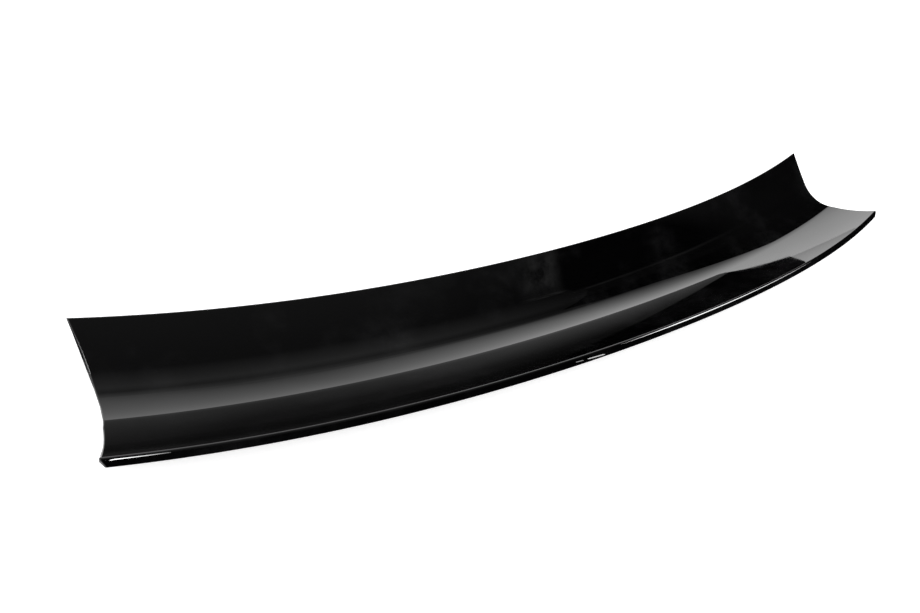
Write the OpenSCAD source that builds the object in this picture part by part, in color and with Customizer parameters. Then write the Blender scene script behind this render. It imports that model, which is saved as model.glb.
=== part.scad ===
// Rear spoiler for the boot lid of a family car: one bowed sheet of black plastic.
// A leading panel lies on the lid, a wide bend turns it up into the curling lip, and the lip's
// rear edge folds down into a narrow nose. The two ends are open cut edges.
// X runs across the car, +Y points to its front and +Z up. The part lies on its bend,
// with the origin under the middle of its outline.

/* [Plan] */

// Width across the corners of the leading edge
front_w = 1160; // [700:5:1500]
// How far each tip of the lip reaches out past the leading corner
end_flare = 22.5; // [0:0.5:60]
// Share of the section's length where the flare starts
flare_share = 0.5; // [0.3:0.05:0.8]
// How suddenly the flare opens, 1 for straight
flare_power = 1.5; // [1:0.1:3]
// How far each end is drawn in across the bend
end_waist = 4.5; // [0:0.5:12]
// Share of the section's length where the drawn-in stretch stops
waist_share = 0.66; // [0.4:0.02:1]
// How far the ends sweep forward of the middle
sweep = 62.5; // [0:0.5:120]
// Part of the sweep that gathers near the ends
sweep_hook = 13.5; // [0:0.5:40]
// How much higher the lip's middle stands than its ends
crown = 9.5; // [0:0.5:25]
// How much lower the leading edge's middle lies than its ends
lead_drop = 3; // [0:0.5:15]

/* [Section] */

// Length of the flat leading panel
panel_l = 54; // [15:1:120]
// Fall of the leading panel towards the rear, in degrees
panel_angle = 24.5; // [5:0.5:35]
// Radius of the upper face round the bend
bend_r = 69; // [20:1:150]
// Length of the lip, from the bend to its rear edge
lip_l = 71; // [20:1:120]
// Rise of the lip where it leaves the bend, in degrees
lip_angle = 25.5; // [5:0.5:50]
// Further rise of the lip as it curls up to its rear edge, in degrees
curl_angle = 14.5; // [0:0.5:25]

/* [Nose] */

// Height of the folded nose, measured along its face
nose_h = 9.25; // [7:0.25:30]
// Turn from the lip down into the nose, in degrees
nose_angle = 89; // [50:1:100]
// Radius of the crest, where the lip turns into the nose
crest_r = 2.5; // [2.2:0.1:5]
// Radius of the inner corner behind the crest
inner_r = 1; // [0.2:0.1:2]
// How far the nose's ends slant inwards at its foot
nose_slant = 3; // [0:0.5:10]

/* [Sheet] */

// Thickness of the panel, the bend and the lip
sheet_t = 4; // [2:0.1:5]
// Thickness of the nose
nose_t = 4; // [2:0.1:6]
// Rounding of the upper face's edges, along the leading edge and the two ends
edge_r = 1.5; // [0.2:0.1:2]

/* [Fineness] */

// Number of strips across the car
strips = 60; // [20:2:64]
// Steps round each rounded edge
edge_steps = 3; // [1:1:3]
// Steps along the panel, the bend, the lip, the crest and the nose
steps = [3, 18, 8, 6, 2];

/* [Hidden] */

gloss_black = [0.02, 0.02, 0.022];

// Turn of the bend, its length along the upper face, and the section's length in all
bend_turn = panel_angle + lip_angle;
bend_l = bend_r * bend_turn * PI / 180;
whole_l = panel_l + bend_l + lip_l;
// Place of the section's lowest line, as a share of its length
low_share = (panel_l + bend_r * panel_angle * PI / 180) / whole_l;

// The crest's arc starts this far before the corner of the outer faces
crest_back = crest_r * tan(nose_angle / 2);
// The inner corner lies this far before the outer one, and its arc starts further back
corner_back = (nose_t - sheet_t * cos(nose_angle)) / sin(nose_angle);
inner_back = corner_back + inner_r * tan(nose_angle / 2);
// Length of the nose's inner face, down to the foot that both faces share
inner_nose_l = nose_h + corner_back * cos(nose_angle) - sheet_t * sin(nose_angle)
    - inner_r * tan(nose_angle / 2);
// The lip curls up to where the inner corner starts, and runs on straight from there
curl_l = lip_l - inner_back;

// Round an upper edge, from 0 at the cut face to 1 on the upper face: the distance in from
// the edge, and the drop below the upper face
function round_in(k) = edge_r * (1 - cos(90 * k));
function round_drop(k) = edge_r * (1 - sin(90 * k));

// A station across the car is [share of the half width, distance in from the end, drop of the
// upper face]. Even strips lie between the rounded ends.
stations = concat(
    [for (i = [0 : edge_steps - 1]) [-1, round_in(i / edge_steps), round_drop(i / edge_steps)]],
    [for (i = [0 : strips]) [2 * i / strips - 1, edge_r, 0]],
    [for (i = [edge_steps - 1 : -1 : 0]) [1, round_in(i / edge_steps), round_drop(i / edge_steps)]]
);
faces_outer = [for (at = stations) section(at, false)];
faces_inner = [for (at = stations) section(at, true)];
ring = len(faces_outer[0]);

// Directions in the section's plane: along the sheet at a climb of a degrees, and down from it
function ahead(a) = [-cos(a), sin(a)];
function beneath(a) = [-sin(a), -cos(a)];

// Straight distance across an arc of length l that turns by the angle t
function chord(l, t) = t == 0 ? l : l * sin(t / 2) * 360 / (PI * t);
// A place on the sheet is [point, climb, share of the section's length]; this one lies
// further on by length l, over which the sheet turns by the angle t
function onward(from, l, t, share) =
    [from[0] + chord(l, t) * ahead(from[1] + t / 2), from[1] + t, share];

// Places on the upper face, by the length s from the start of the panel, the bend or the lip
function panel_at(s) = onward([[0, 0], -panel_angle], s, 0, s / whole_l);
function bend_at(s) =
    onward(panel_at(panel_l), s, bend_turn * s / bend_l, (panel_l + s) / whole_l);
function lip_at(s) =
    let (curled = min(s, curl_l), share = (panel_l + bend_l + s) / whole_l)
    onward(onward(bend_at(bend_l), curled, curl_angle * curled / curl_l, share), s - curled, 0, share);

// The same place, a distance t down from the upper face
function under(place, t) = [place[0] + t * beneath(place[1]), place[1], place[2]];

// One face of the sheet at a station, from the leading edge to the foot of the nose
function section(at, inner) =
    let (
        t = inner ? sheet_t : at[2],
        back = inner ? inner_back : crest_back,
        r = inner ? inner_r : crest_r - t,
        nose_l = inner ? inner_nose_l : nose_h - crest_back,
        lip_end = under(lip_at(lip_l - back), t),
        nose_top = onward(lip_end, r * nose_angle * PI / 180, -nose_angle, 1)
    )
    [
        for (i = [0 : edge_steps - 1])
            let (k = i / edge_steps)
            to_part(at, under(panel_at(round_in(k)), max(t, round_drop(k))), 0),
        for (i = [0 : steps[0]])
            to_part(at, under(panel_at(edge_r + i / steps[0] * (panel_l - edge_r)), t), 0),
        for (i = [1 : steps[1]])
            to_part(at, under(bend_at(i / steps[1] * bend_l), t), 0),
        for (i = [1 : steps[2]])
            to_part(at, under(lip_at(i / steps[2] * (lip_l - back)), t), 0),
        for (i = [1 : steps[3]])
            let (k = i / steps[3])
            to_part(at, onward(lip_end, k * r * nose_angle * PI / 180, -k * nose_angle, 1), 0),
        for (i = [1 : steps[4]])
            let (k = i / steps[4])
            to_part(at, onward(nose_top, k * nose_l, 0, 1), k * nose_slant)
    ];

// Half the part's width at a share of the section's length
function half_w(share) =
    let (
        flare = max(0, (share - flare_share) / (1 - flare_share)),
        waist = min(1, share / waist_share)
    )
    front_w / 2 - end_waist * sin(180 * waist) + end_flare * pow(flare, flare_power);

// How much higher the section's middle stands than its ends, at a share of its length
function middle_rise(share) =
    share > low_share ? crown * (share - low_share) / (1 - low_share)
    : lead_drop * (share - low_share) / low_share;

// Moves a place in the section to its station: out to the side, then swept and crowned
function to_part(at, place, inset) =
    let (
        x = at[0] * (half_w(place[2]) - inset - at[1]),
        q = pow(x / (front_w / 2), 2),
        y = place[0][0] + (sweep - sweep_hook) * q + sweep_hook * q * q,
        z = place[0][1] + (1 - q) * middle_rise(place[2])
    )
    [x, y, z];

// The outer face's points come first, then the inner face's
function outer_no(i, j) = i * ring + j;
function inner_no(i, j) = (len(stations) + i) * ring + j;
// A four-sided patch as two triangles
function patch(a, b, c, d) = [[a, b, c], [a, c, d]];

module spoiler() {
    points = [for (face = [faces_outer, faces_inner]) for (row = face) for (p = row) p];
    last = len(stations) - 1;
    foot = ring - 1;
    skins = [
        for (i = [0 : last - 1]) for (j = [0 : ring - 2])
            each concat(
                patch(outer_no(i, j), outer_no(i, j + 1), outer_no(i + 1, j + 1), outer_no(i + 1, j)),
                patch(inner_no(i, j), inner_no(i + 1, j), inner_no(i + 1, j + 1), inner_no(i, j + 1))
            )
    ];
    edges = [
        for (i = [0 : last - 1])
            each concat(
                patch(outer_no(i, 0), outer_no(i + 1, 0), inner_no(i + 1, 0), inner_no(i, 0)),
                patch(outer_no(i, foot), inner_no(i, foot), inner_no(i + 1, foot), outer_no(i + 1, foot))
            )
    ];
    ends = [
        for (j = [0 : ring - 2])
            each concat(
                patch(outer_no(0, j), inner_no(0, j), inner_no(0, j + 1), outer_no(0, j + 1)),
                patch(outer_no(last, j), outer_no(last, j + 1), inner_no(last, j + 1), inner_no(last, j))
            )
    ];
    ys = [for (p = points) p[1]];
    zs = [for (p = points) p[2]];
    color(gloss_black)
        translate([0, -(min(ys) + max(ys)) / 2, -min(zs)])
            polyhedron(points, concat(skins, edges, ends));
}

spoiler();
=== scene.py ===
# Rear spoiler: the finished look of the one-piece gloss black shell, in a plain pale studio.
# Everything is in metres in the part's own frame: X across the car, +Y to its front, +Z up.
import math

import bpy
import numpy as np
from mathutils import Matrix, Vector


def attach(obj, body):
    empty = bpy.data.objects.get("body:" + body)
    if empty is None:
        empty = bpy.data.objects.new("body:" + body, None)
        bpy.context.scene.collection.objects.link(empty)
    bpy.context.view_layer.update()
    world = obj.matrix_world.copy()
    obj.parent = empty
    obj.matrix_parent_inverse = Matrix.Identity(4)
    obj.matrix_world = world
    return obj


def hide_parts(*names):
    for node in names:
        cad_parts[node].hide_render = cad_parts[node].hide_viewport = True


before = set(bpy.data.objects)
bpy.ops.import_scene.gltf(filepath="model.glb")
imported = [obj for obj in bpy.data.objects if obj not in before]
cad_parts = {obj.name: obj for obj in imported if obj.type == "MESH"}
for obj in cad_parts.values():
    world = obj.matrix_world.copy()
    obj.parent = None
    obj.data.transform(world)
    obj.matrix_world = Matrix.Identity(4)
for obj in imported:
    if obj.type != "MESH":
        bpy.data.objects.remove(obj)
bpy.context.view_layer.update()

MM = 0.001

# Sizes of the shell, the same as in the part's source
FRONT_W = 1160 * MM
END_FLARE = 22.5 * MM
FLARE_SHARE = 0.5
FLARE_POWER = 1.5
END_WAIST = 4.5 * MM
WAIST_SHARE = 0.66
SWEEP = 62.5 * MM
SWEEP_HOOK = 13.5 * MM
CROWN = 9.5 * MM
LEAD_DROP = 3 * MM
PANEL_L = 54 * MM
PANEL_ANGLE = math.radians(24.5)
BEND_R = 69 * MM
LIP_L = 71 * MM
LIP_ANGLE = math.radians(25.5)
CURL_ANGLE = math.radians(14.5)
NOSE_H = 9.25 * MM
NOSE_ANGLE = math.radians(89)
CREST_R = 2.5 * MM
INNER_R = 1 * MM
NOSE_SLANT = 3 * MM
SHEET_T = 4 * MM
NOSE_T = 4 * MM
EDGE_R = 1.5 * MM

# How far the nose's face curves in towards its foot
NOSE_TUCK = 0.25 * MM

# Small radius that breaks the lower edges, and the first row of faces beside an edge or an arc
BREAK_R = 0.4 * MM
EDGE_ROW = 0.3 * MM

# Fineness of the smooth shell
STATIONS = 260
PANEL_STEPS = 10
BEND_STEPS = 50
LIP_STEPS = 24
CREST_STEPS = 14
NOSE_STEPS = 5
EDGE_STEPS = 8
BREAK_STEPS = 4

# The camera, measured from the photograph's outlines
CAMERA_PLACE = Vector((-0.72854, -0.40565, 0.72832))
CAMERA_HEADING = math.radians(52.383)
CAMERA_TILT = math.radians(45.650)
CAMERA_ROLL = math.radians(26.720)
CAMERA_LENS = 33.678


# The section: a walk along the sheet in the plane of Y and Z

def ahead(a):
    return np.array([-math.cos(a), math.sin(a)])


def beneath(a):
    return np.array([-math.sin(a), -math.cos(a)])


def chord(length, turn):
    half = turn / 2
    return length if abs(half) < 1e-9 else length * math.sin(half) / half


def onward(point, climb, length, turn):
    return point + chord(length, turn) * ahead(climb + turn / 2), climb + turn


def spaced(length, count, first_row, last_row):
    """Distances along a stretch, with a narrow row at the ends that need one."""
    inner = np.linspace(0, length, count + 1)[1:-1]
    rows = [EDGE_ROW] if first_row else []
    ends = [length - EDGE_ROW] if last_row else []
    return rows + list(inner) + ends + [length]


BEND_TURN = PANEL_ANGLE + LIP_ANGLE
BEND_L = BEND_R * BEND_TURN
WHOLE_L = PANEL_L + BEND_L + LIP_L
LOW_SHARE = (PANEL_L + BEND_R * PANEL_ANGLE) / WHOLE_L
CREST_BACK = CREST_R * math.tan(NOSE_ANGLE / 2)
CORNER_BACK = (NOSE_T - SHEET_T * math.cos(NOSE_ANGLE)) / math.sin(NOSE_ANGLE)
INNER_BACK = CORNER_BACK + INNER_R * math.tan(NOSE_ANGLE / 2)
INNER_NOSE_L = (NOSE_H + CORNER_BACK * math.cos(NOSE_ANGLE) - SHEET_T * math.sin(NOSE_ANGLE)
                - INNER_R * math.tan(NOSE_ANGLE / 2))
CURL_L = LIP_L - INNER_BACK


def on_sheet(s):
    """Point and climb on the upper face at a length s from the leading edge."""
    point, climb = onward(np.zeros(2), -PANEL_ANGLE, min(s, PANEL_L), 0)
    bent = min(max(s - PANEL_L, 0), BEND_L)
    point, climb = onward(point, climb, bent, BEND_TURN * bent / BEND_L)
    curled = min(max(s - PANEL_L - BEND_L, 0), CURL_L)
    point, climb = onward(point, climb, curled, CURL_ANGLE * curled / CURL_L)
    return onward(point, climb, max(s - PANEL_L - BEND_L - CURL_L, 0), 0)


def face_walk(under, drop):
    """One face from the leading edge to the nose's foot: rows of (point, share, slant).
    The upper face lies a drop below its full height, with its leading edge rounded."""
    back = INNER_BACK if under else CREST_BACK
    sink = SHEET_T if under else drop
    crest_r = INNER_R if under else CREST_R - drop
    nose_l = INNER_NOSE_L if under else NOSE_H - CREST_BACK
    rows = []

    def add(point, climb, down, share, slant):
        rows.append((point + down * beneath(climb), share, slant))

    if under:
        starts = [BREAK_R, BREAK_R + EDGE_ROW, EDGE_R]
        for s in starts:
            point, climb = on_sheet(s)
            add(point, climb, sink, s / WHOLE_L, 0)
    else:
        for turn in np.linspace(0, math.pi / 2, EDGE_STEPS + 1):
            s = EDGE_R * (1 - math.cos(turn))
            point, climb = on_sheet(s)
            add(point, climb, max(sink, EDGE_R * (1 - math.sin(turn))), s / WHOLE_L, 0)
    walk = [EDGE_R + s for s in spaced(PANEL_L - EDGE_R, PANEL_STEPS, True, False)]
    walk += [PANEL_L + s for s in spaced(BEND_L, BEND_STEPS, False, False)]
    walk += [PANEL_L + BEND_L + s for s in spaced(LIP_L - back, LIP_STEPS, False, True)]
    for s in walk:
        point, climb = on_sheet(s)
        add(point, climb, sink, s / WHOLE_L, 0)
    crest_start = point + sink * beneath(climb)
    crest_climb = climb
    for k in np.linspace(0, 1, CREST_STEPS + 1)[1:]:
        point, climb = onward(crest_start, crest_climb, k * crest_r * NOSE_ANGLE, -k * NOSE_ANGLE)
        add(point, climb, 0, 1, 0)
    nose_start, nose_climb = point, climb
    for s in spaced(nose_l - BREAK_R, NOSE_STEPS, True, True):
        point, climb = onward(nose_start, nose_climb, s, 0)
        tuck = 0 if under else NOSE_TUCK * (s / nose_l) ** 2
        add(point, climb, tuck, 1, s / nose_l * NOSE_SLANT)
    return rows


def broken_edge(start, into, out_from, out_to):
    """A small quarter round from a face's last row, without its first point."""
    centre = start[0] + BREAK_R * into
    turns = np.linspace(0, math.pi / 2, BREAK_STEPS + 1)[1:]
    outs = [math.cos(t) * out_from + math.sin(t) * out_to for t in turns]
    return [(centre + BREAK_R * out, start[1], start[2]) for out in outs]


def ring_at(drop):
    """The closed outline of the section, and the length of its upper side."""
    outer = face_walk(False, drop)
    under = face_walk(True, drop)
    nose_climb = LIP_ANGLE + CURL_ANGLE - NOSE_ANGLE
    forward = -ahead(-PANEL_ANGLE)
    down = beneath(-PANEL_ANGLE)
    foot = ahead(nose_climb)
    inward = beneath(nose_climb)
    outer += broken_edge(outer[-1], inward, -inward, foot)
    under += broken_edge(under[-1], -inward, inward, foot)
    lead = broken_edge(under[0], -down, down, forward)
    return outer + under[::-1] + lead, len(outer)


def half_width(share):
    flare = np.clip((share - FLARE_SHARE) / (1 - FLARE_SHARE), 0, 1)
    waist = np.clip(share / WAIST_SHARE, 0, 1)
    return FRONT_W / 2 - END_WAIST * np.sin(math.pi * waist) + END_FLARE * flare ** FLARE_POWER


def middle_rise(share):
    """How much higher the section's middle stands than its ends."""
    past = share - LOW_SHARE
    return np.where(past > 0, CROWN * past / (1 - LOW_SHARE), LEAD_DROP * past / LOW_SHARE)


def placed(points, share, slant, across, end_in):
    """A ring's points in the part's frame, before the origin is set."""
    x = across * (half_width(share) - slant - end_in)
    q = (x / (FRONT_W / 2)) ** 2
    y = points[:, 0] + (SWEEP - SWEEP_HOOK) * q + SWEEP_HOOK * q * q
    z = points[:, 1] + (1 - q) * middle_rise(share)
    return np.stack([x, y, z], axis=1)


def station_list():
    """Stations across the car: (share of the half width, distance in from the end, drop)."""
    turns = np.linspace(0, math.pi / 2, EDGE_STEPS + 1)[:-1]
    end = [(1, EDGE_R * (1 - math.cos(t)), EDGE_R * (1 - math.sin(t))) for t in turns]
    row = EDGE_ROW / (FRONT_W / 2)
    across = np.sort(np.concatenate([np.linspace(-1, 1, STATIONS + 1), [-1 + row, 1 - row]]))
    middle = [(u, EDGE_R, 0) for u in across]
    return [(-1, e, d) for _, e, d in end] + middle + end[::-1]


def shell_mesh():
    """The whole shell as one closed mesh, with its upper face, under side and cut edges marked."""
    layers = []
    for across, end_in, drop in station_list():
        rows, side_count = ring_at(drop)
        points = np.array([r[0] for r in rows])
        share = np.array([r[1] for r in rows])
        slant = np.array([r[2] for r in rows])
        layers.append(placed(points, share, slant, across, end_in))
    points = np.array(layers)
    ring = points.shape[1]
    under_count = ring - side_count - BREAK_STEPS

    def kind(j):
        if j < side_count - BREAK_STEPS - 1:
            return 0
        under = j - side_count
        return 1 if BREAK_STEPS <= under < under_count - 1 else 2

    faces = []
    kinds = []
    for i in range(len(layers) - 1):
        for j in range(ring):
            k = (j + 1) % ring
            faces.append((i * ring + j, i * ring + k, (i + 1) * ring + k, (i + 1) * ring + j))
            kinds.append(kind(j))
    for i, order in ((0, 1), (len(layers) - 1, -1)):
        faces.append(tuple(range(i * ring, (i + 1) * ring))[::-order])
        kinds.append(2)
    points = points.reshape(-1, 3)
    front = SWEEP + SHEET_T * math.sin(PANEL_ANGLE)
    points -= np.array([0, (points[:, 1].min() + front) / 2, points[:, 2].min()])
    return points, faces, kinds


# Materials: colours, and the depth and cells per metre of each surface's relief

CLEAN_BLACK = (0.0008, 0.0008, 0.0009, 1)
HAZY_BLACK = (0.0055, 0.0055, 0.0058, 1)
UNDER_DARK = (0.011, 0.011, 0.0115, 1)
UNDER_PALE = (0.019, 0.019, 0.0195, 1)
CUT_DARK = (0.003, 0.003, 0.0035, 1)
# Pale grey of the painted reflection on the cut edge towards the lip
CUT_REFLECTION_GREY = (0.11, 0.11, 0.112, 1)
GLOSS_IOR = 1.5
CUT_IOR = 1.35

WAVE_CELLS = 14
WAVE_DEPTH = 0.06 * MM
PEEL_CELLS = 420
PEEL_DEPTH = 0.0012 * MM
PEBBLE_CELLS = 1400
PEBBLE_DEPTH = 0.02 * MM
CUT_CELLS = 900
CUT_DEPTH = 0.006 * MM

# Where along X the haze begins to thicken, and over what length
HAZE_X = 250 * MM
HAZE_BLEND = 120 * MM

# Where along Y the painted reflection on the cut edge starts to turn it pale towards the lip, and over
# what length
CUT_REFLECTION_Y = 30 * MM
CUT_BLEND = 25 * MM


def new_material(name):
    material = bpy.data.materials.new(name)
    material.use_nodes = True
    tree = material.node_tree
    shader = tree.nodes["Principled BSDF"]
    return material, tree, shader


def link(tree, source, target):
    tree.links.new(source, target)


def place_noise(tree, scale, detail, roughness=0.5):
    """Noise that is fixed to the part, at a number of cells per metre."""
    coordinates = tree.nodes.new("ShaderNodeTexCoord")
    noise = tree.nodes.new("ShaderNodeTexNoise")
    noise.inputs["Scale"].default_value = scale
    noise.inputs["Detail"].default_value = detail
    noise.inputs["Roughness"].default_value = roughness
    link(tree, coordinates.outputs["Object"], noise.inputs["Vector"])
    return noise.outputs["Fac"]


def span(tree, value, low, high, to_low, to_high):
    """The value moved from one range to another, held at the ends."""
    node = tree.nodes.new("ShaderNodeMapRange")
    node.inputs["From Min"].default_value = low
    node.inputs["From Max"].default_value = high
    node.inputs["To Min"].default_value = to_low
    node.inputs["To Max"].default_value = to_high
    link(tree, value, node.inputs["Value"])
    return node.outputs["Result"]


def maths(tree, operation, first, second):
    """One sum of two values, each a number or a socket."""
    node = tree.nodes.new("ShaderNodeMath")
    node.operation = operation
    for socket, value in zip(node.inputs, (first, second)):
        if isinstance(value, (int, float)):
            socket.default_value = value
        else:
            link(tree, value, socket)
    return node.outputs["Value"]


def bump(tree, height, depth, under=None):
    """A bump whose height, from 0 to 1, stands for a depth in metres."""
    node = tree.nodes.new("ShaderNodeBump")
    node.inputs["Strength"].default_value = 1.0
    node.inputs["Distance"].default_value = depth
    link(tree, height, node.inputs["Height"])
    if under is not None:
        link(tree, under, node.inputs["Normal"])
    return node.outputs["Normal"]


def two_tone(tree, factor, low, high):
    """A colour between two, by a factor from 0 to 1."""
    node = tree.nodes.new("ShaderNodeMix")
    node.data_type = "RGBA"
    node.inputs["A"].default_value = low
    node.inputs["B"].default_value = high
    link(tree, factor, node.inputs["Factor"])
    return node.outputs["Result"]


def gloss_black():
    """Polished black plastic: faint waviness, fine orange peel and the last wipe's haze, which
    is thicker towards the right end."""
    material, tree, shader = new_material("gloss_black")
    shader.inputs["IOR"].default_value = GLOSS_IOR
    haze = span(tree, place_noise(tree, 9, 4, 0.6), 0.5, 0.68, 0.0, 1.0)
    wipe = span(tree, place_noise(tree, 70, 3, 0.7), 0.35, 0.65, 0.3, 1.0)
    x, _, _ = where(tree)
    thicker = span(tree, x, HAZE_X, HAZE_X + HAZE_BLEND, 1, 2)
    smear = maths(tree, "MULTIPLY", maths(tree, "MULTIPLY", haze, wipe), thicker)
    smear = maths(tree, "ADD", smear, span(tree, x, HAZE_X, HAZE_X + HAZE_BLEND, 0, 0.3))
    link(tree, two_tone(tree, smear, CLEAN_BLACK, HAZY_BLACK), shader.inputs["Base Color"])
    link(tree, span(tree, smear, 0, 2, 0.014, 0.07), shader.inputs["Roughness"])
    waves = bump(tree, place_noise(tree, WAVE_CELLS, 1), WAVE_DEPTH)
    peel = bump(tree, place_noise(tree, PEEL_CELLS, 1), PEEL_DEPTH, waves)
    link(tree, peel, shader.inputs["Normal"])
    return material


def under_black():
    """The sheet's unpolished side: satin, with a fine pebble from the forming."""
    material, tree, shader = new_material("under_black")
    tone = two_tone(tree, place_noise(tree, 25, 4), UNDER_DARK, UNDER_PALE)
    link(tree, tone, shader.inputs["Base Color"])
    link(tree, span(tree, place_noise(tree, 60, 3), 0.3, 0.7, 0.34, 0.46), shader.inputs["Roughness"])
    link(tree, bump(tree, place_noise(tree, PEBBLE_CELLS, 2), PEBBLE_DEPTH), shader.inputs["Normal"])
    return material


def cut_black():
    """The trimmed edge: cut smooth and black, with fine marks along the cut, and a painted reflection
    that turns it pale grey towards the lip.
    """
    material, tree, shader = new_material("cut_black")
    shader.inputs["IOR"].default_value = CUT_IOR
    _, y, _ = where(tree)
    # Painted reflection: the cut edge's colour turns pale grey towards the lip, in place of the floor it
    # mirrors there
    lip_reflection = span(tree, y, CUT_REFLECTION_Y, CUT_REFLECTION_Y + CUT_BLEND, 1, 0)
    marks = span(tree, place_noise(tree, 180, 3), 0.3, 0.7, 0.6, 1)
    tone = two_tone(tree, maths(tree, "MULTIPLY", lip_reflection, marks), CUT_DARK, CUT_REFLECTION_GREY)
    link(tree, tone, shader.inputs["Base Color"])
    link(tree, span(tree, place_noise(tree, 220, 3), 0.3, 0.7, 0.14, 0.26), shader.inputs["Roughness"])
    link(tree, bump(tree, place_noise(tree, CUT_CELLS, 2), CUT_DEPTH), shader.inputs["Normal"])
    return material


def make_shell():
    points, faces, kinds = shell_mesh()
    mesh = bpy.data.meshes.new("spoiler_shell")
    mesh.from_pydata([tuple(p) for p in points], [], faces)
    mesh.validate()
    for material in (gloss_black(), under_black(), cut_black()):
        mesh.materials.append(material)
    mesh.polygons.foreach_set("material_index", kinds)
    mesh.polygons.foreach_set("use_smooth", [len(f) == 4 for f in faces])
    mesh.update()
    shell = bpy.data.objects.new("spoiler_shell", mesh)
    bpy.context.scene.collection.objects.link(shell)
    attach(shell, "root")
    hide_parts("spoiler")
    return shell


# Studio

def glow_material(name):
    """An unlit surface: its emission shader and node tree."""
    material = bpy.data.materials.new(name)
    material.use_nodes = True
    tree = material.node_tree
    tree.nodes.remove(tree.nodes["Principled BSDF"])
    emission = tree.nodes.new("ShaderNodeEmission")
    link(tree, emission.outputs["Emission"], tree.nodes["Material Output"].inputs["Surface"])
    return material, tree, emission


def card(name, corner, side, rise, material):
    """A flat card that only reflections see, from one corner and its two edges."""
    corner, side, rise = Vector(corner), Vector(side), Vector(rise)
    mesh = bpy.data.meshes.new(name)
    mesh.from_pydata([corner, corner + side, corner + side + rise, corner + rise], [], [(0, 1, 2, 3)])
    mesh.materials.append(material)
    board = bpy.data.objects.new(name, mesh)
    bpy.context.scene.collection.objects.link(board)
    board.visible_camera = False
    board.visible_diffuse = False
    board.visible_shadow = False
    board.visible_transmission = False
    return board


def where(tree):
    """X, Y and Z in metres on a stage card."""
    coordinates = tree.nodes.new("ShaderNodeTexCoord")
    split = tree.nodes.new("ShaderNodeSeparateXYZ")
    link(tree, coordinates.outputs["Object"], split.inputs["Vector"])
    return split.outputs


# Where the cards round the part stand, and the brightest light on the sweep
SWEEP_Y = 2.0
SWEEP_PEAK = 2.4
CARD_LEFT = -3.0
CARD_FOOT = -0.5
CEILING_Z = 2.2
CEILING_Y = 1.2
FLAG_X = 2.0
FLAG_Y = 1.03
FRONT_Y = -3.0

# The sweep's fade upwards at its left, middle and right: height of its top, and the share of the
# light at its bottom and its top
FADE_BOTTOM = 0.45
LEFT_FADE = (4.0, 0.78, 0.36)
MIDDLE_FADE = (3.0, 0.70, 0.24)
RIGHT_FADE = (2.9, 1.0, 0.22)

# The sweep's middle lies between these places along X, and its light falls off beyond the last
MIDDLE_FROM = 0.1
MIDDLE_AT = 0.85
RIGHT_AT = 1.6
FALL_FROM = 2.05
LOW_LEFT_OVER = 0.66
HIGH_LEFT_OVER = 0.24

# The ceiling's light: in front, along its stripe, behind that, and what the sweep adds at its edge
CEILING_FRONT = 0.08
CEILING_STRIPE = 0.35
CEILING_DIP = 0.12
STRIPE_Y = 0.45
EDGE_GLOW_LEFT = 0.6
EDGE_GLOW_RIGHT = 0.22

# The small cloudy patch on the ceiling, in cells per metre and brightness
PATCH_CELLS = 9
PATCH_DARK = 0.02
PATCH_PALE = 0.36

# What the floor adds to its own light, seen by the camera and in reflections
FLOOR_SEEN = 0.6
FLOOR_MIRRORED = 0.3
FLOOR_REACH = 30.0

# The light on the part itself: the world's level, and the lamp above
WORLD_LEVEL = 0.75
KEY_WATTS = 40
KEY_SIZE = 2.5
KEY_PLACE = (-0.6, -0.8, 2.6)


def blend(tree, factor, low, high):
    """A brightness between two, by a factor from 0 to 1."""
    node = tree.nodes.new("ShaderNodeMix")
    node.inputs["Factor"].default_value = 0
    link(tree, factor, node.inputs["Factor"])
    link(tree, low, node.inputs["A"])
    link(tree, high, node.inputs["B"])
    return node.outputs["Result"]


def pale_sweep():
    """The lit backdrop: brightest low down at its right, and fading upwards least at its left."""
    material, tree, emission = glow_material("pale_sweep")
    x, _, z = where(tree)
    left = span(tree, z, FADE_BOTTOM, *LEFT_FADE)
    middle = span(tree, z, FADE_BOTTOM, *MIDDLE_FADE)
    right = span(tree, z, FADE_BOTTOM, *RIGHT_FADE)
    level = blend(tree, span(tree, x, MIDDLE_FROM, MIDDLE_AT, 0, 1), left, middle)
    level = blend(tree, span(tree, x, MIDDLE_AT, RIGHT_AT, 0, 1), level, right)
    high_fade = span(tree, x, FALL_FROM, 3.2, SWEEP_PEAK, SWEEP_PEAK * HIGH_LEFT_OVER)
    low_fade = span(tree, x, FALL_FROM, 3.0, SWEEP_PEAK, SWEEP_PEAK * LOW_LEFT_OVER)
    fade = blend(tree, span(tree, z, 0.6, 1.3, 0, 1), low_fade, high_fade)
    link(tree, maths(tree, "MULTIPLY", level, fade), emission.inputs["Strength"])
    return card("pale_sweep", (CARD_LEFT, SWEEP_Y, CARD_FOOT), (8.5, 0, 0), (0, 0, 8.0), material)


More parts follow.
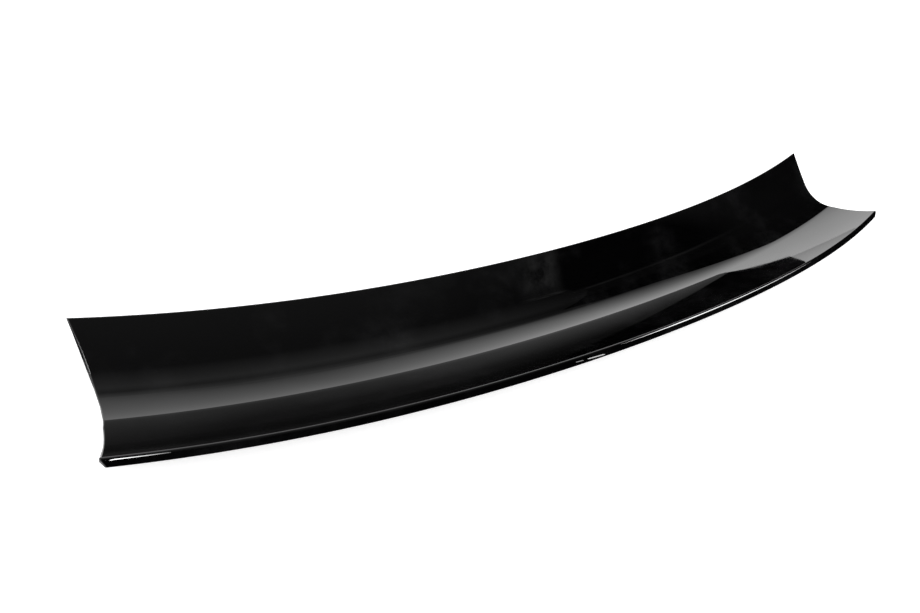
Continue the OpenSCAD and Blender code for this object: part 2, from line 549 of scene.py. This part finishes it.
def dark_ceiling():
    """The dim ceiling over the part: a soft paler stripe along its middle, a small cloudy patch
    at its right, and black beyond that."""
    material, tree, emission = glow_material("dark_ceiling")
    x, y, _ = where(tree)
    rise = span(tree, y, -0.6, STRIPE_Y, CEILING_FRONT, CEILING_STRIPE)
    dip = span(tree, y, STRIPE_Y + 0.05, STRIPE_Y + 0.4, 0, CEILING_DIP)
    near_sweep = span(tree, y, 0.82, CEILING_Y, 0, 1)
    edge_glow = span(tree, x, -0.3, 0.35, EDGE_GLOW_LEFT, EDGE_GLOW_RIGHT)
    glow = maths(tree, "MULTIPLY", near_sweep, edge_glow)
    level = maths(tree, "ADD", maths(tree, "SUBTRACT", rise, dip), glow)
    level = maths(tree, "MULTIPLY", level, span(tree, x, 0.7, 1.95, 1.0, 0.22))
    wide = maths(tree, "MULTIPLY", span(tree, x, 1.56, 1.72, 0, 1), span(tree, x, 1.84, 1.91, 1, 0))
    deep = maths(tree, "MULTIPLY", span(tree, y, -0.60, -0.54, 0, 1), span(tree, y, -0.46, -0.36, 1, 0))
    cloud = span(tree, place_noise(tree, PATCH_CELLS, 4, 0.6), 0.35, 0.65, PATCH_DARK, PATCH_PALE)
    cloud = maths(tree, "MULTIPLY", cloud, maths(tree, "MULTIPLY", wide, deep))
    kept = maths(tree, "MAXIMUM", span(tree, x, 1.90, 1.93, 1, 0), span(tree, y, -0.32, -0.20, 0, 1))
    level = maths(tree, "MULTIPLY", maths(tree, "ADD", level, cloud), kept)
    link(tree, level, emission.inputs["Strength"])
    depth = (0, CEILING_Y - FRONT_Y, 0)
    return card("dark_ceiling", (CARD_LEFT, FRONT_Y, CEILING_Z), (7.0, 0, 0), depth, material)


def side_flag():
    """The black flag at the right, with a faint worn patch beside its rear half."""
    material, tree, emission = glow_material("side_flag")
    _, y, z = where(tree)
    worn = span(tree, place_noise(tree, 3.5, 4, 0.6), 0.35, 0.65, 0.5, 1.3)
    start = span(tree, y, -0.27, -0.19, 0, 1)
    patch = maths(tree, "MULTIPLY", start, span(tree, y, -0.16, -0.08, 0.09, 0.02))
    end = maths(tree, "MULTIPLY", span(tree, y, 0.3, 0.5, 1, 0), span(tree, z, 1.0, 1.5, 0.1, 1))
    haze = maths(tree, "MULTIPLY", worn, maths(tree, "MULTIPLY", patch, end))
    link(tree, haze, emission.inputs["Strength"])
    depth = (0, FLAG_Y - FRONT_Y, 0)
    height = (0, 0, CEILING_Z - CARD_FOOT)
    return card("side_flag", (FLAG_X, FRONT_Y, CARD_FOOT), depth, height, material)


def black_flag(name, corner, side, rise):
    """A card that reflections see as black."""
    material, _, emission = glow_material(name)
    emission.inputs["Strength"].default_value = 0
    return card(name, corner, side, rise, material)


def crest_box():
    """The softbox at the right that draws the second line along the crest."""
    material, tree, emission = glow_material("crest_box")
    _, _, z = where(tree)
    link(tree, span(tree, z, 0.75, 1.5, 11, 26), emission.inputs["Strength"])
    return card("crest_box", (FLAG_X - 0.05, -1.6, 0.7), (0, 1.1, 0), (0, 0, 1.05), material)


def streak_box():
    """The strip lamp behind the camera that draws the streak on the nose's left end."""
    material, tree, emission = glow_material("streak_box")
    x, _, _ = where(tree)
    link(tree, span(tree, x, -1.25, -0.92, 48, 7), emission.inputs["Strength"])
    return card("streak_box", (-1.255, -2.5, 0.865), (0.355, 0, 0.155), (0, 0, 1.15), material)


def softbox(name, corner, side, rise, strength):
    """An evenly lit card."""
    material, _, emission = glow_material(name)
    emission.inputs["Strength"].default_value = strength
    return card(name, corner, side, rise, material)


def pale_floor():
    """A plain white floor that keeps a soft shadow."""
    material, tree, shader = new_material("pale_floor")
    shader.inputs["Base Color"].default_value = (0.9, 0.9, 0.9, 1)
    shader.inputs["Roughness"].default_value = 0.9
    shader.inputs["Specular IOR Level"].default_value = 0.0
    rays = tree.nodes.new("ShaderNodeLightPath")
    shader.inputs["Emission Color"].default_value = (1, 1, 1, 1)
    seen = maths(tree, "MULTIPLY", rays.outputs["Is Camera Ray"], FLOOR_SEEN)
    mirrored = maths(tree, "MAXIMUM", rays.outputs["Is Glossy Ray"], rays.outputs["Is Transmission Ray"])
    mirrored = maths(tree, "MULTIPLY", mirrored, FLOOR_MIRRORED)
    link(tree, maths(tree, "ADD", seen, mirrored), shader.inputs["Emission Strength"])
    mesh = bpy.data.meshes.new("pale_floor")
    corners = [(FLOOR_REACH * i, FLOOR_REACH * j, 0) for i, j in ((-1, -1), (1, -1), (1, 1), (-1, 1))]
    mesh.from_pydata(corners, [], [(0, 1, 2, 3)])
    mesh.materials.append(material)
    floor = bpy.data.objects.new("pale_floor", mesh)
    bpy.context.scene.collection.objects.link(floor)


def white_world():
    """White to the camera and in reflections, and a plain grey level of light elsewhere."""
    world = bpy.data.worlds.new("white_world")
    bpy.context.scene.world = world
    world.use_nodes = True
    tree = world.node_tree
    background = tree.nodes["Background"]
    background.inputs["Color"].default_value = (1, 1, 1, 1)
    rays = tree.nodes.new("ShaderNodeLightPath")
    seen = maths(tree, "MAXIMUM", rays.outputs["Is Camera Ray"], rays.outputs["Is Glossy Ray"])
    seen = maths(tree, "MAXIMUM", seen, rays.outputs["Is Transmission Ray"])
    link(tree, span(tree, seen, 0, 1, WORLD_LEVEL, 1.0), background.inputs["Strength"])


def key_light():
    """A large soft lamp above, for the floor's gentle shadow."""
    light = bpy.data.lights.new("key_light", "AREA")
    light.shape = "RECTANGLE"
    light.size = KEY_SIZE
    light.size_y = KEY_SIZE
    light.energy = KEY_WATTS
    lamp = bpy.data.objects.new("key_light", light)
    lamp.location = KEY_PLACE
    lamp.rotation_euler = (Vector((0, 0, 0)) - lamp.location).to_track_quat("-Z", "Y").to_euler()
    lamp.visible_glossy = False
    bpy.context.scene.collection.objects.link(lamp)


def make_camera():
    """The camera at the photograph's place, heading, tilt and roll."""
    sin_h, cos_h = math.sin(CAMERA_HEADING), math.cos(CAMERA_HEADING)
    sin_t, cos_t = math.sin(CAMERA_TILT), math.cos(CAMERA_TILT)
    look = Vector((sin_h * cos_t, cos_h * cos_t, -sin_t))
    level = Vector((cos_h, -sin_h, 0))
    upright = level.cross(look)
    right = math.cos(CAMERA_ROLL) * level + math.sin(CAMERA_ROLL) * upright
    up = math.cos(CAMERA_ROLL) * upright - math.sin(CAMERA_ROLL) * level
    camera_data = bpy.data.cameras.new("camera")
    camera_data.lens = CAMERA_LENS
    camera_data.sensor_width = 36
    camera_data.clip_start = 0.01
    camera = bpy.data.objects.new("camera", camera_data)
    axes = Matrix((right, up, -look)).transposed().to_4x4()
    camera.matrix_world = Matrix.Translation(CAMERA_PLACE) @ axes
    bpy.context.scene.collection.objects.link(camera)
    bpy.context.scene.camera = camera


make_shell()
pale_sweep()
dark_ceiling()
side_flag()
black_flag("front_flag", (CARD_LEFT, FRONT_Y, CARD_FOOT), (5.0, 0, 0), (0, 0, CEILING_Z - CARD_FOOT))
black_flag("far_flag", (3.02, SWEEP_Y - 0.02, 0.92), (0.65, 0, 0), (0.68, 0, 3.08))
softbox("far_sweep", (3.66, SWEEP_Y - 0.04, CARD_FOOT), (1.8, 0, 0), (0.72, 0, 3.2), 3.0)
black_flag("floor_flag", (0.62, -2.0, 0.003), (1.38, 0, 0), (0, 1.92, 0))
crest_box()
streak_box()
# Two small lamps for the glints on the nose's middle, and one for the hairline on the left end
softbox("glint_box", (1.70, -2.5, 0.62), (0.06, 0, -0.03), (0, 0, 0.05), 6)
softbox("glint_box_2", (1.80, -2.5, 0.56), (0.14, 0, -0.07), (0, 0, 0.07), 12)
softbox("edge_box", (-0.9, 0.024, 0.09), (0, 0.024, 0), (0, 0, 0.15), 24)
pale_floor()
white_world()
key_light()
make_camera()
bpy.context.scene.view_settings.view_transform = "Standard"
